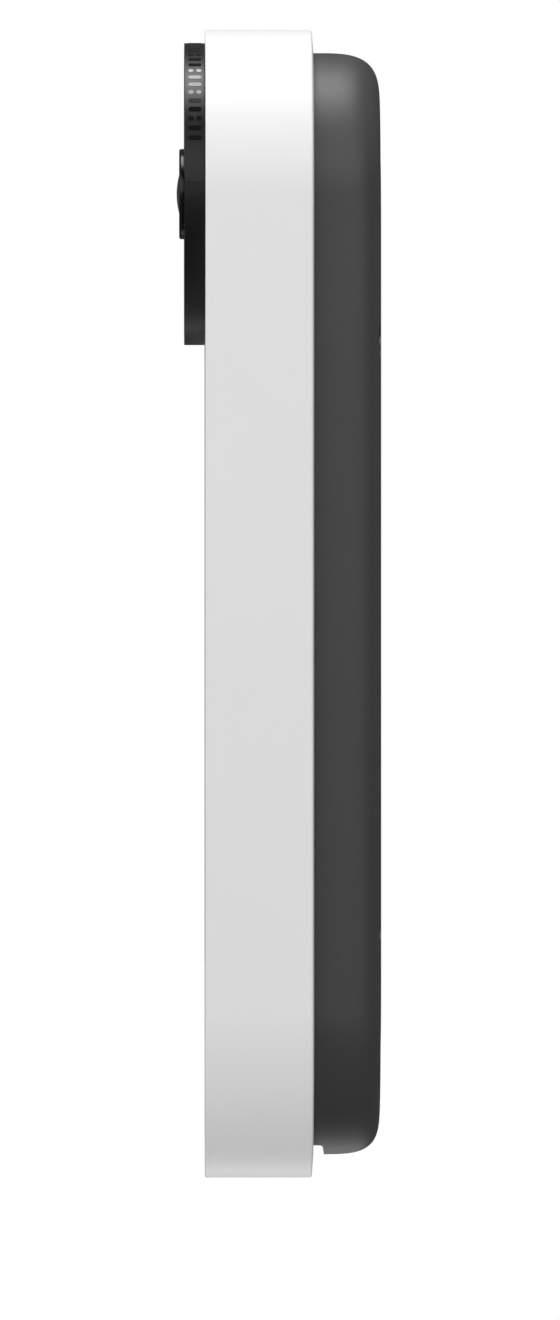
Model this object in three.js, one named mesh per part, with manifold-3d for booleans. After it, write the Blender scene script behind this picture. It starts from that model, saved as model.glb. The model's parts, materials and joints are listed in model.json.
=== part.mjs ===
// A battery video doorbell on its wall bracket, as separate named solids.
//
// Millimetres, +Z up. The front faces -Y and the wall is at y = 0, behind the bracket.
// The origin is the middle of the bracket's wall face, so x = 0 is the plane of symmetry.
// In every pair named ...Front and ...Back, Front is the lower y, nearer the visitor.

import * as THREE from "three";
import { mergeVertices } from "three/addons/utils/BufferGeometryUtils.js";
import Module from "manifold-3d";

const wasm = await Module();
wasm.setup();

// ---- driving dimensions ----

const endCentre = 57.1; // from the body's middle to the centre of each round end
const gap = 0.3; // between pieces that touch in the real object

const frontShell = { radius: 22.9, front: -24.46, back: -9.4, bore: 20, wall: 2, edge: 0.15, slope: 0.2 };
const rearShell = { radius: 19.67, front: -13, seam: -9.35, back: -0.1, bore: 17.9, floor: -4.9 };
const rearRounding = { flatRadius: 11.2, power: 3.85, steps: 6 };
const sealGroove = { radius: 18.75, front: -12.3, back: -10.9 };

const recess = { radius: 10.8, halfSpan: 52, floor: -3.5 };
const bracket = { radius: 10.4, halfSpan: 52, front: -3 };
const hook = { halfWidth: 5, front: -3.4, back: -2.2, top: 71.6 };
const pocketBottom = 58; // the hook pocket opens into the recess here
const hookPocket = {
  halfWidth: 5.6, floor: -4.4, top: 72.4, lipBottom: 68.5,
  lipFront: -1.5, wall: 1.4, wallBottom: 60.5,
};
const latchPocket = {
  halfWidth: 5.2, floor: -9.4, bottom: -73.6, top: -53,
  lipTop: -68, lipFront: -1.6, wall: 1.2,
};
const releaseNotch = {
  z: -75.37, back: -8.2, rounding: 0.35,
  slotHalfWidth: 2.6, slotFront: -9.3, slotBack: -8.3,
};

const disc = {
  radius: 21.05, front: -27.36, lip: 20.45, neckRadius: 17.6,
  neckBack: -20.5, bore: 16.2, seat: -26.06,
};
const cameraHoleRadius = 18;
const windowRadius = 20.3;
const lensBezel = { radius: 6.3, front: -28.06, bore: 2.85, neckRadius: 5, neckBack: -25.4 };
const lensDome = { radius: 2.7, curve: 10.4, back: -25.6 };
const motionSensor = { z: -12.5, holeRadius: 3.3, lensRadius: 3.05 }; // z is from the lens axis
const irLedRadius = 10.5; // from the lens axis to each infrared LED

const button = { radius: 11.6, front: -24.3, bossEnd: -19.6 };
const lightRing = { inner: 12, outer: 13.4, hole: 13.7, flange: 14.8, back: -19.5 };
const caseScrew = {
  x: 13.5, upperZ: 36.5, lowerZ: -46,
  holeRadius: 1.3, counterbore: 2.6, counterboreFloor: -3.9,
};
const wallScrewZ = 50;
const rivet = { z: -57.3, holeRadius: 1.15 };
const speaker = { z: 7, halfWidth: 9, bottom: -5, top: 19 };
const microphone = { z: 28, holeRadius: 0.6 };
const boardFront = -16.6; // the front face of the main board and of the button's board
const boardBack = -15.4;

const battery = { halfWidth: 15.5, front: -14.2, back: -6.3, bottom: -31.5, top: 18.5 };
const terminal = { x: 4.4, z: 26.5, screwRadius: 2.6 };
const usb = { y: -6.6, z: -38.5, halfHeight: 1.6, halfLength: 4.5, sheet: 0.35 };
const usbFlap = { innerX: -18.4, outerX: -25, toFront: 2.1, toBack: 2.3, halfLength: 6.5 };
const resetKey = { z: -38.5, radius: 1.9, holeRadius: 2.2, flange: 2.7 };

const sidesLarge = 40;
const sidesMedium = 24;
const sidesSmall = 16;

// ---- making solids ----

// A closed three.js geometry as a solid that can be joined and cut.
function solid(geometry) {
  const bare = geometry.index ? geometry.toNonIndexed() : geometry.clone();
  bare.deleteAttribute("normal");
  bare.deleteAttribute("uv");
  const merged = mergeVertices(bare, 1e-4);
  const corners = merged.index.array;
  const triVerts = [];
  for (let i = 0; i < corners.length; i += 3) {
    const [a, b, c] = [corners[i], corners[i + 1], corners[i + 2]];
    if (a !== b && b !== c && c !== a) triVerts.push(a, b, c);
  }
  const mesh = new wasm.Mesh({
    numProp: 3,
    vertProperties: new Float32Array(merged.attributes.position.array),
    triVerts: new Uint32Array(triVerts),
  });
  return new wasm.Manifold(mesh);
}

function join(...solids) {
  return solids.reduce((whole, next) => whole.add(next));
}

function cut(from, ...tools) {
  return tools.reduce((left, tool) => left.subtract(tool), from);
}

// A box from its two corners.
function block([x0, y0, z0], [x1, y1, z1]) {
  const box = new THREE.BoxGeometry(x1 - x0, y1 - y0, z1 - z0);
  return solid(box.translate((x0 + x1) / 2, (y0 + y1) / 2, (z0 + z1) / 2));
}

// A round rod along y.
function rod(radius, front, back, { x = 0, z = 0, sides = sidesMedium } = {}) {
  const cylinder = new THREE.CylinderGeometry(radius, radius, back - front, sides);
  return solid(cylinder.translate(x, (front + back) / 2, z));
}

// A ring or a hollow rod along y.
function tube(outer, inner, front, back, place = {}) {
  return cut(rod(outer, front, back, place), rod(inner, front - 1, back + 1, place));
}

// A piece turned about y. Its outline is a list of [radius, y] that runs from front to back.
function turned(outline, sides = sidesMedium) {
  const points = outline.map(([radius, y]) => new THREE.Vector2(radius, y));
  return solid(new THREE.LatheGeometry(points, sides));
}

// A flat shape drawn in x and z, given its thickness in y.
function plate(shape, front, back, curveSegments = sidesSmall) {
  const options = { depth: back - front, bevelEnabled: false, curveSegments };
  const lying = new THREE.ExtrudeGeometry(shape, options);
  const stand = new THREE.Matrix4().makeBasis(
    new THREE.Vector3(1, 0, 0),
    new THREE.Vector3(0, 0, 1),
    new THREE.Vector3(0, -1, 0),
  );
  return solid(lying.applyMatrix4(stand).translate(0, back, 0));
}

// A shape drawn in y and z, given its width in x.
function sideProfile(shape, halfWidth) {
  const options = { depth: 2 * halfWidth, bevelEnabled: false, curveSegments: sidesSmall };
  const lying = new THREE.ExtrudeGeometry(shape, options);
  const stand = new THREE.Matrix4().makeBasis(
    new THREE.Vector3(0, 1, 0),
    new THREE.Vector3(0, 0, 1),
    new THREE.Vector3(1, 0, 0),
  );
  return solid(lying.applyMatrix4(stand).translate(-halfWidth, 0, 0));
}

function outlineShape(points) {
  return new THREE.Shape(points.map(([a, b]) => new THREE.Vector2(a, b)));
}

// A strip of sheet that follows a path in y and z.
function strip(path, thickness, halfWidth) {
  const points = path.map(([y, z]) => new THREE.Vector2(y, z));
  const offset = (side) =>
    points.map((point, i) => {
      const before = points[Math.max(i - 1, 0)];
      const after = points[Math.min(i + 1, points.length - 1)];
      const along = after.clone().sub(before).normalize();
      return new THREE.Vector2(-along.y, along.x).multiplyScalar((side * thickness) / 2).add(point);
    });
  return sideProfile(new THREE.Shape([...offset(-1), ...offset(1).reverse()]), halfWidth);
}

// A tall slot shape with round ends.
function pillShape(radius, halfSpan) {
  const shape = new THREE.Shape();
  shape.absarc(0, halfSpan, radius, 0, Math.PI, false);
  shape.absarc(0, -halfSpan, radius, Math.PI, 2 * Math.PI, false);
  return shape;
}

function pillPlate(radius, halfSpan, front, back) {
  return plate(pillShape(radius, halfSpan), front, back, sidesLarge / 2);
}

// A solid with round ends: its outline is turned about both end centres and drawn between them.
function pillBody(outline) {
  const mirrored = outline.map(([radius, y]) => [-radius, y]).reverse();
  const section = outlineShape([...outline, ...mirrored.slice(1, -1)]);
  const options = { depth: 2 * endCentre, bevelEnabled: false };
  const middle = solid(new THREE.ExtrudeGeometry(section, options).translate(0, 0, -endCentre));
  const end = turned(outline, sidesLarge);
  return join(middle, end.translate(0, 0, endCentre), end.translate(0, 0, -endCentre));
}

// ---- materials ----

function material(color, roughness, metalness = 0) {
  return new THREE.MeshStandardMaterial({ color, roughness, metalness });
}

const whitePlastic = material(0xf2f2f0, 0.45);
const darkPlastic = material(0x3c3c3d, 0.6);
const glossBlack = material(0x0a0a0b, 0.12);
const blackPlastic = material(0x151516, 0.5);
const glass = material(0x101418, 0.05);
const opticalGlass = material(0x9fb4c8, 0.05);
const filterGlass = material(0x7fb8c8, 0.05);
const silicone = material(0x2a2a2b, 0.7);
const diffuser = material(0xe9eef2, 0.3);
const circuitGreen = material(0x17502f, 0.5);
const flexAmber = material(0xb5742a, 0.4);
const steel = material(0xb9bcc0, 0.35, 1);
const tinnedSteel = material(0xc9cbce, 0.3, 1);
const aluminium = material(0xc4c7ca, 0.4, 1);
const brass = material(0xb8934a, 0.35, 1);
const batteryBlue = material(0x2f4a6b, 0.4);
const foam = material(0x202020, 0.9);
const copper = material(0xb87348, 0.4, 1);

// ---- the assembly ----

const doorbell = new THREE.Group();
const cameraUnit = new THREE.Group();
cameraUnit.position.z = endCentre;
const buttonUnit = new THREE.Group();
buttonUnit.position.z = -endCentre;
doorbell.add(cameraUnit, buttonUnit);

// Adds a solid to a group as a named mesh.
function piece(group, name, shape, look) {
  const { vertProperties, triVerts } = shape.getMesh();
  const geometry = new THREE.BufferGeometry();
  geometry.setAttribute("position", new THREE.BufferAttribute(vertProperties, 3));
  geometry.setIndex(new THREE.BufferAttribute(triVerts, 1));
  const mesh = new THREE.Mesh(geometry, look);
  mesh.name = name;
  group.add(mesh);
}

// ---- the case ----

function frontShellSolid() {
  const { radius, front, back, bore, wall, edge, slope } = frontShell;
  const outer = pillBody([
    [0, front],
    [radius - edge, front],
    [radius, front + edge],
    [radius, back - slope - gap],
    [radius - edge, back - slope],
    [bore, back],
    [0, back],
  ]);
  const inside = front + wall;
  const hollow = pillPlate(bore, endCentre, inside, back + 1);
  const bossRadius = 2.6;
  const bossBack = rearShell.floor - gap;
  const pilotRadius = 1.15;
  const pilotFront = -14;
  let shell = cut(outer, hollow);
  for (const z of [caseScrew.upperZ, caseScrew.lowerZ]) {
    for (const x of [-caseScrew.x, caseScrew.x]) {
      const place = { x, z, sides: sidesSmall };
      const boss = rod(bossRadius, inside - wall / 2, bossBack, place);
      shell = cut(shell.add(boss), rod(pilotRadius, pilotFront, 0, place));
    }
  }
  const cameraHole = rod(cameraHoleRadius, front - 1, inside + 1, { z: endCentre, sides: sidesLarge });
  const buttonHole = rod(lightRing.hole, front - 1, inside + 1, { z: -endCentre, sides: sidesLarge });
  const microphoneHole = rod(microphone.holeRadius, front - 1, inside + 1, { z: microphone.z, sides: 12 });
  return cut(shell, cameraHole, buttonHole, microphoneHole, ...speakerSlots(front - 1, inside + 1));
}

function speakerSlots(front, back) {
  const slot = { count: 5, pitch: 3, radius: 0.6, halfSpan: 3.4 };
  const slots = [];
  for (let i = 0; i < slot.count; i++) {
    const x = (i - (slot.count - 1) / 2) * slot.pitch;
    slots.push(plate(pillShape(slot.radius, slot.halfSpan), front, back, 5).translate(x, 0, speaker.z));
  }
  return slots;
}

// The rear shell's outside: straight at the seam, then one soft superellipse into the flat back.
function rearShellOutside() {
  const { radius, front, seam, back } = rearShell;
  const { flatRadius, power, steps } = rearRounding;
  const outline = [[0, front], [radius, front]];
  for (let i = 0; i <= steps; i++) {
    const turn = (i / steps) * (Math.PI / 2);
    const out = Math.max(Math.cos(turn), 0) ** (2 / power);
    const deep = Math.sin(turn) ** (2 / power);
    outline.push([flatRadius + (radius - flatRadius) * out, seam + (back - seam) * deep]);
  }
  return pillBody([...outline, [0, back]]);
}

function usbFlapBox(grow) {
  const { innerX, outerX, toFront, toBack, halfLength } = usbFlap;
  return block(
    [outerX, usb.y - toFront - grow, usb.z - halfLength - 2 * grow],
    [innerX + grow, usb.y + toBack + grow, usb.z + halfLength + grow],
  );
}

function rearShellSolid() {
  const { radius, front, bore, floor, back } = rearShell;
  const hollow = cut(
    pillPlate(bore, endCentre, front - 1, floor),
    block(
      [-hookPocket.halfWidth - hookPocket.wall, hookPocket.floor - hookPocket.wall, hookPocket.wallBottom],
      [hookPocket.halfWidth + hookPocket.wall, 0, 80],
    ),
    block(
      [-latchPocket.halfWidth - latchPocket.wall, latchPocket.floor - latchPocket.wall, -80],
      [latchPocket.halfWidth + latchPocket.wall, 0, latchPocket.top + latchPocket.wall],
    ),
  );
  const grooveOutside = pillPlate(radius + 1, endCentre, sealGroove.front, sealGroove.back);
  const groove = cut(grooveOutside, pillPlate(sealGroove.radius, endCentre, front, sealGroove.back + 1));
  const bracketRecess = pillPlate(recess.radius, recess.halfSpan, recess.floor, 1);
  const hookSpace = block(
    [-hookPocket.halfWidth, hookPocket.floor, pocketBottom],
    [hookPocket.halfWidth, hookPocket.lipFront, hookPocket.top],
  );
  const hookMouth = block(
    [-hookPocket.halfWidth, -2, pocketBottom],
    [hookPocket.halfWidth, 1, hookPocket.lipBottom],
  );
  const latchSpace = block(
    [-latchPocket.halfWidth, latchPocket.floor, latchPocket.bottom],
    [latchPocket.halfWidth, latchPocket.lipFront, latchPocket.top],
  );
  const latchMouth = block(
    [-latchPocket.halfWidth, -2, latchPocket.lipTop],
    [latchPocket.halfWidth, 1, -pocketBottom],
  );
  const keySlot = block(
    [-releaseNotch.slotHalfWidth, releaseNotch.slotFront, -77],
    [releaseNotch.slotHalfWidth, releaseNotch.slotBack, latchPocket.bottom + 1],
  );
  const screwHoles = [];
  for (const z of [caseScrew.upperZ, caseScrew.lowerZ]) {
    for (const x of [-caseScrew.x, caseScrew.x]) {
      screwHoles.push(rod(caseScrew.holeRadius, floor - 1, 0, { x, z, sides: sidesSmall }));
      screwHoles.push(rod(caseScrew.counterbore, caseScrew.counterboreFloor, 1, { x, z, sides: sidesSmall }));
    }
  }
  const terminalHoles = [-terminal.x, terminal.x].map((x) =>
    rod(terminal.screwRadius + gap, floor - 1, 0, { x, z: terminal.z, sides: 20 }),
  );
  const resetHole = rod(resetKey.holeRadius, floor - 1, 0, { z: resetKey.z, sides: sidesSmall });
  const usbMouth = block(
    [-20, usb.y - usb.halfHeight - gap, usb.z - usb.halfLength - gap],
    [-bore + 0.5, usb.y + usb.halfHeight + gap, usb.z + usb.halfLength + gap],
  );
  return cut(
    rearShellOutside(),
    hollow,
    groove,
    bracketRecess,
    hookSpace,
    hookMouth,
    latchSpace,
    latchMouth,
    notchTool(),
    keySlot,
    ...screwHoles,
    ...terminalHoles,
    resetHole,
    usbFlapBox(gap),
    usbMouth,
  );
}

// The finger-wide notch at the foot of the rear shell, where the release key goes in.
function notchTool() {
  const { z, back, rounding } = releaseNotch;
  const shape = new THREE.Shape();
  shape.moveTo(-9.9, z);
  shape.lineTo(back - rounding, z);
  shape.quadraticCurveTo(back, z, back + rounding / 2, z - 2 * rounding);
  shape.lineTo(back + rounding, -80);
  shape.lineTo(-9.9, -80);
  shape.closePath();
  return sideProfile(shape, 12);
}

piece(doorbell, "front_shell", frontShellSolid(), whitePlastic);
piece(doorbell, "rear_shell", rearShellSolid(), darkPlastic);

const gasketGap = 0.15;
const gasketOutside = pillPlate(19.85, endCentre, sealGroove.front + gasketGap, sealGroove.back - gasketGap);
const gasketInside = pillPlate(sealGroove.radius + gasketGap, endCentre, -13, -10);
const gasketRing = cut(gasketOutside, gasketInside);
piece(doorbell, "seal_gasket", gasketRing, silicone);

function screw({ headRadius, headFront, headBack, shankRadius, shankEnd, driveRadius, driveDepth }) {
  const head = rod(headRadius, headFront, headBack, { sides: 20 });
  const shank = rod(shankRadius, Math.min(shankEnd, headFront), Math.max(shankEnd, headBack), { sides: 12 });
  const faceOut = shankEnd < headFront ? headBack : headFront;
  const drive = rod(driveRadius, faceOut - driveDepth, faceOut + driveDepth, { sides: 6 });
  return cut(join(head, shank), drive);
}

const caseScrewSolid = screw({
  headRadius: 2.3, headFront: -3.8, headBack: -2.4,
  shankRadius: 0.95, shankEnd: -13.5,
  driveRadius: 1, driveDepth: 0.8,
});
const caseScrewPlaces = {
  case_screw_upper_left: [-caseScrew.x, caseScrew.upperZ],
  case_screw_upper_right: [caseScrew.x, caseScrew.upperZ],
  case_screw_lower_left: [-caseScrew.x, caseScrew.lowerZ],
  case_screw_lower_right: [caseScrew.x, caseScrew.lowerZ],
};
for (const [name, [x, z]] of Object.entries(caseScrewPlaces)) {
  piece(doorbell, name, caseScrewSolid.translate(x, 0, z), steel);
}

// ---- the camera, around the lens axis ----

const cameraHousing = turned(
  [
    [disc.bore, disc.seat],
    [disc.lip, disc.seat],
    [disc.lip, disc.front],
    [disc.radius, disc.front],
    [disc.radius, frontShell.front - 0.1],
    [disc.neckRadius, frontShell.front - 0.1],
    [disc.neckRadius, disc.neckBack],
    [disc.bore, disc.neckBack],
    [disc.bore, disc.seat],
  ],
  sidesLarge,
);
piece(cameraUnit, "camera_housing", cameraHousing, blackPlastic);

const cameraWindow = cut(
  rod(windowRadius, disc.front, disc.seat - gap, { sides: sidesLarge }),
  rod(lensBezel.neckRadius + gap, -30, -20, { sides: 24 }),
  rod(motionSensor.holeRadius, -30, -20, { z: motionSensor.z, sides: 24 }),
);
piece(cameraUnit, "camera_window", cameraWindow, glossBlack);

const bezel = turned(
  [
    [lensBezel.bore, -27.46],
    [lensBezel.bore, lensBezel.front],
    [lensBezel.radius - 0.3, lensBezel.front],
    [lensBezel.radius - 0.09, lensBezel.front + 0.09],
    [lensBezel.radius, lensBezel.front + 0.3],
    [lensBezel.radius, -27.46],
    [lensBezel.neckRadius, -27.46],
    [lensBezel.neckRadius, lensBezel.neckBack],
    [4.5, lensBezel.neckBack],
    [4.5, -27.46],
    [lensBezel.bore, -27.46],
  ],
  sidesMedium,
);
piece(cameraUnit, "lens_bezel", bezel, glossBlack);

// One side of a spherical lens face, from the axis out to a radius.
function lensFace(radius, curve, rimY, steps) {
  const rise = Math.sign(curve) * (Math.abs(curve) - Math.sqrt(curve ** 2 - radius ** 2));
  const points = [];
  for (let i = 0; i <= steps; i++) {
    const r = (radius * i) / steps;
    const drop = Math.sign(curve) * (Math.abs(curve) - Math.sqrt(curve ** 2 - r ** 2));
    points.push([r, rimY - rise + drop]);
  }
  return points;
}

const frontElement = turned(
  [
    ...lensFace(lensDome.radius, lensDome.curve, lensBezel.front, 4),
    [lensDome.radius, lensDome.back],
    [0, lensDome.back],
  ],
  24,
);
piece(cameraUnit, "lens_dome", frontElement, glass);

const barrel = cut(
  join(rod(4.2, -25.2, -18.6, { sides: 24 }), rod(4.6, -24.2, -22.4, { sides: 24 })),
  rod(3.05, -24.6, -10, { sides: 24 }),
  rod(2, -30, -20, { sides: 24 }),
);
piece(cameraUnit, "lens_barrel", barrel, blackPlastic);

const innerElement = turned(
  [...lensFace(2.7, 7, -22.6, 3), ...lensFace(2.7, -9, -21.4, 3).reverse()],
  24,
);
piece(cameraUnit, "lens_inner_element", innerElement, opticalGlass);

const holder = cut(
  join(block([-6, -18.2, -6], [10, -14.2, 6]), tube(5.8, 4.5, -20.6, -17.5, { sides: 24 })),
  block([-4.8, -17, -4.8], [8.8, -14, 4.8]),
  rod(3.2, -19, -16, { sides: 24 }),
);
piece(cameraUnit, "lens_holder", holder, blackPlastic);

const filterFrame = cut(
  block([-4.5, -16.9, -4.5], [8.5, -15.2, 4.5]),
  block([-4.6, -17, -3.1], [8.6, -16.2, 3.1]),
  block([-2.5, -17, -2.5], [2.5, -15, 2.5]),
);
piece(cameraUnit, "ir_cut_frame", filterFrame, blackPlastic);
piece(cameraUnit, "ir_cut_filter", block([-2.8, -16.8, -2.8], [2.8, -16.4, 2.8]), filterGlass);

const coil = join(
  rod(1.5, -17.4, -15.2, { x: 3, z: -8.2, sides: sidesSmall }),
  block([0.6, -16.9, -9.6], [5.4, -15.7, -6.4]),
);
piece(cameraUnit, "ir_cut_coil", coil, copper);

piece(cameraUnit, "image_sensor", block([-3.2, -14.85, -2.7], [3.2, -14.2, 2.7]), glass);
piece(cameraUnit, "camera_board", block([-12, -13.9, -12], [12, -12.9, 12]), circuitGreen);
piece(cameraUnit, "heat_spreader", block([-11, -12.4, -11], [11, -11.2, 11]), aluminium);

const ledBoard = tube(15.8, 6.6, -24.6, -23.8, { sides: sidesMedium });
piece(cameraUnit, "ir_led_board", ledBoard, circuitGreen);

const irLedSolid = join(block([-1.6, -25.4, -1.6], [1.6, -24.9, 1.6]), rod(1.3, -26.1, -25.2, { sides: 12 }));
const irLedSides = { upper_left: [-1, 1], upper_right: [1, 1], lower_left: [-1, -1], lower_right: [1, -1] };
for (const [corner, [sideX, sideZ]] of Object.entries(irLedSides)) {
  const reach = irLedRadius * Math.SQRT1_2;
  piece(cameraUnit, "ir_led_" + corner, irLedSolid.translate(sideX * reach, 0, sideZ * reach), diffuser);
}

const sensorLens = join(
  rod(motionSensor.lensRadius, -27.26, -26.4, { z: motionSensor.z, sides: 24 }),
  rod(2.6, -26.6, -26.1, { z: motionSensor.z, sides: 24 }),
);
piece(cameraUnit, "motion_sensor_lens", sensorLens, silicone);
const sensorCan = rod(2.4, -25.8, -24.9, { z: motionSensor.z, sides: sidesSmall });
piece(cameraUnit, "motion_sensor", sensorCan, tinnedSteel);

// ---- the front button, around its own axis ----

const buttonCap = join(
  turned(
    [
      [0, button.front],
      [button.radius - 0.4, button.front],
      [button.radius - 0.1, button.front + 0.1],
      [button.radius, button.front + 0.4],
      [button.radius, -21],
      [button.radius - 1.2, -21],
      [button.radius - 1.2, button.front + 1.6],
      [0, button.front + 1.6],
    ],
    sidesLarge,
  ),
  rod(2.2, button.front + 1, button.bossEnd, { sides: sidesSmall }),
);
piece(buttonUnit, "button_cap", buttonCap, whitePlastic);

const ring = cut(
  join(
    rod(lightRing.outer, -24.36, lightRing.back, { sides: sidesLarge }),
    rod(lightRing.flange, -22.1, -21, { sides: sidesLarge }),
  ),
  rod(lightRing.inner, -30, -10, { sides: sidesLarge }),
);
piece(buttonUnit, "button_light_ring", ring, diffuser);
piece(buttonUnit, "button_membrane", rod(14.2, -19.2, -18.45, { sides: sidesMedium }), silicone);

const switchTravelDepth = -17.1;
const switchBody = cut(
  block([-3, -17.9, -3], [3, boardFront - gap, 3]),
  rod(1.45, -19, switchTravelDepth, { sides: sidesSmall }),
);
piece(buttonUnit, "tact_switch_body", switchBody, blackPlastic);
piece(buttonUnit, "tact_switch_stem", rod(1.2, -18.15, -17.6, { sides: sidesSmall }), whitePlastic);
piece(buttonUnit, "button_board", block([-12, boardFront, -11.4], [12, boardBack, 8.2]), circuitGreen);

// ---- the electronics between camera and button ----

piece(doorbell, "main_board", block([-15, boardFront, -33], [15, boardBack, 33]), circuitGreen);
piece(doorbell, "shield_can", block([-12, -19.2, -31], [12, boardFront - gap, -10]), tinnedSteel);
piece(doorbell, "wifi_antenna", block([16.4, -21, -25], [16.8, -17, 25]), flexAmber);

const cameraFlexPath = [[-14.35, 47], [-14.35, 42.5], [-17.05, 38.5], [-17.05, 30.5]];
piece(doorbell, "camera_flex", strip(cameraFlexPath, 0.3, 4), flexAmber);
piece(doorbell, "button_flex", block([-3, -17.15, -51], [3, -16.9, -31.8]), flexAmber);

const speakerBox = cut(
  block([-speaker.halfWidth, -21.3, speaker.bottom], [speaker.halfWidth, -17.2, speaker.top]),
  rod(7.2, -22, -20, { z: speaker.z, sides: 24 }),
);
const speakerCone = rod(2.6, -20.8, -19.5, { z: speaker.z, sides: sidesSmall });
piece(doorbell, "speaker", join(speakerBox, speakerCone), blackPlastic);
const sealInset = 0.2;
const speakerSeal = cut(
  block(
    [-speaker.halfWidth + sealInset, -22.3, speaker.bottom + sealInset],
    [speaker.halfWidth - sealInset, -21.6, speaker.top - sealInset],
  ),
  rod(7.6, -24, -20, { z: speaker.z, sides: 24 }),
);
piece(doorbell, "speaker_gasket", speakerSeal, foam);

const boot = tube(2, 0.7, -22.2, -18.4, { z: microphone.z, sides: sidesSmall });
piece(doorbell, "microphone_boot", boot, silicone);
const microphoneCan = block([-1.9, -18.1, microphone.z - 1.5], [1.9, boardFront - gap, microphone.z + 1.5]);
piece(doorbell, "microphone", microphoneCan, tinnedSteel);

const cell = block(
  [-battery.halfWidth, battery.front, battery.bottom],
  [battery.halfWidth, battery.back, battery.top],
);
piece(doorbell, "battery", cell, batteryBlue);
const trayWall = 1.1;
const trayGap = 0.25;
const tray = cut(
  block(
    [-battery.halfWidth - trayWall - trayGap, battery.front - trayGap, battery.bottom - trayWall - trayGap],
    [battery.halfWidth + trayWall + trayGap, battery.back + trayWall, battery.top + trayWall + trayGap],
  ),
  block(
    [-battery.halfWidth - trayGap, battery.front - 1, battery.bottom - trayGap],
    [battery.halfWidth + trayGap, battery.back + trayGap, battery.top + trayGap],
  ),
);
piece(doorbell, "battery_tray", tray, blackPlastic);

// ---- the terminals, the charging port and the reset button ----

const terminalX = [-terminal.x, terminal.x];
const terminalBlock = cut(
  block([-9, -10, 21.3], [9, -5.2, 32]),
  ...terminalX.map((x) => rod(1.6, -11, 0, { x, z: terminal.z, sides: sidesSmall })),
);
piece(doorbell, "terminal_block", terminalBlock, blackPlastic);
const terminalScrew = screw({
  headRadius: terminal.screwRadius, headFront: -4.8, headBack: -2.6,
  shankRadius: 1.3, shankEnd: -9.5,
  driveRadius: 1.1, driveDepth: 0.9,
});
terminalX.forEach((x, i) => {
  const side = i ? "right" : "left";
  piece(doorbell, "terminal_screw_" + side, terminalScrew.translate(x, 0, terminal.z), brass);
});

const portBoard = block([-17, -9.7, -43.1], [5, -8.7, -34.1]);
piece(doorbell, "port_board", portBoard, circuitGreen);
const usbSocket = cut(
  block(
    [-18, usb.y - usb.halfHeight, usb.z - usb.halfLength],
    [-11, usb.y + usb.halfHeight, usb.z + usb.halfLength],
  ),
  block(
    [-19, usb.y - usb.halfHeight + usb.sheet, usb.z - usb.halfLength + usb.sheet],
    [-12, usb.y + usb.halfHeight - usb.sheet, usb.z + usb.halfLength - usb.sheet],
  ),
);
const usbTongue = block([-17.4, usb.y - 0.35, usb.z - 3.3], [-11.5, usb.y + 0.35, usb.z + 3.3]);
piece(doorbell, "usb_port", join(usbSocket, usbTongue), tinnedSteel);
piece(doorbell, "usb_flap", rearShellOutside().intersect(usbFlapBox(0)), silicone);

const resetSwitch = block([-1.8, -8.4, resetKey.z - 1.8], [1.8, -7, resetKey.z + 1.8]);
piece(doorbell, "reset_switch", resetSwitch, tinnedSteel);
const resetButton = join(
  rod(resetKey.radius, -6.7, -3.7, { z: resetKey.z, sides: sidesSmall }),
  rod(resetKey.flange, -6.7, -5.9, { z: resetKey.z, sides: sidesSmall }),
);
piece(doorbell, "reset_button", resetButton, blackPlastic);

// ---- the release ----

const lever = sideProfile(
  outlineShape([[-9.1, -73.2], [-8.2, -73.2], [-8.2, -71.3], [-2.3, -71.3], [-2.3, -70.3], [-9.1, -70.3]]),
  2.4,
);
piece(doorbell, "release_lever", lever, steel);

// ---- the wall bracket ----

function wallPlateSolid() {
  const sheet = pillPlate(bracket.radius, bracket.halfSpan, bracket.front, 0);
  const tongue = block([-hook.halfWidth, hook.front, 57], [hook.halfWidth, hook.back, hook.top]);
  const terminalWindow = block([-7.8, -5, 16], [7.8, 1, 33]);
  const resetWindow = block([-5, -5, -44], [5, 1, -24]);
  const middleWindow = block([-5, -5, -18], [5, 1, -6]);
  const screwTools = [];
  for (const z of [-wallScrewZ, wallScrewZ]) {
    screwTools.push(rod(2.3, -5, 1, { z, sides: 20 }));
    screwTools.push(rod(4.6, -5, -1.4, { z, sides: 24 }));
  }
  const latchSeat = block([-4.3, -5, -64], [4.3, -2.3, -54.9]);
  const rivetHole = rod(rivet.holeRadius, -5, -0.4, { z: rivet.z, sides: 12 });
  return cut(
    join(sheet, tongue),
    terminalWindow,
    middleWindow,
    resetWindow,
    ...screwTools,
    latchSeat,
    rivetHole,
  );
}

piece(doorbell, "wall_plate", wallPlateSolid(), aluminium);

const wallScrew = screw({
  headRadius: 4.2, headFront: -2.95, headBack: -1.6,
  shankRadius: 1.9, shankEnd: -0.1,
  driveRadius: 1.6, driveDepth: 0.8,
});
piece(doorbell, "wall_screw_upper", wallScrew.translate(0, 0, wallScrewZ), steel);
piece(doorbell, "wall_screw_lower", wallScrew.translate(0, 0, -wallScrewZ), steel);

const latchPath = [
  [-2.8, -55.5],
  [-2.8, -60],
  [-3.4, -61.2],
  [-5.6, -62.2],
  [-6.6, -63.4],
  [-6.3, -64.9],
  [-4.4, -66],
  [-2.9, -67],
  [-2.45, -68],
  [-2.45, -69.6],
];
const latchSpring = cut(
  strip(latchPath, 0.4, 3.8),
  rod(rivet.holeRadius, -5, 0, { z: rivet.z, sides: 12 }),
);
piece(doorbell, "latch_spring", latchSpring, steel);
const rivetSolid = join(
  rod(1.7, -3.8, -3.2, { z: rivet.z, sides: sidesSmall }),
  rod(0.9, -3.5, -0.6, { z: rivet.z, sides: 12 }),
);
piece(doorbell, "latch_rivet", rivetSolid, brass);

export default doorbell;
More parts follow.
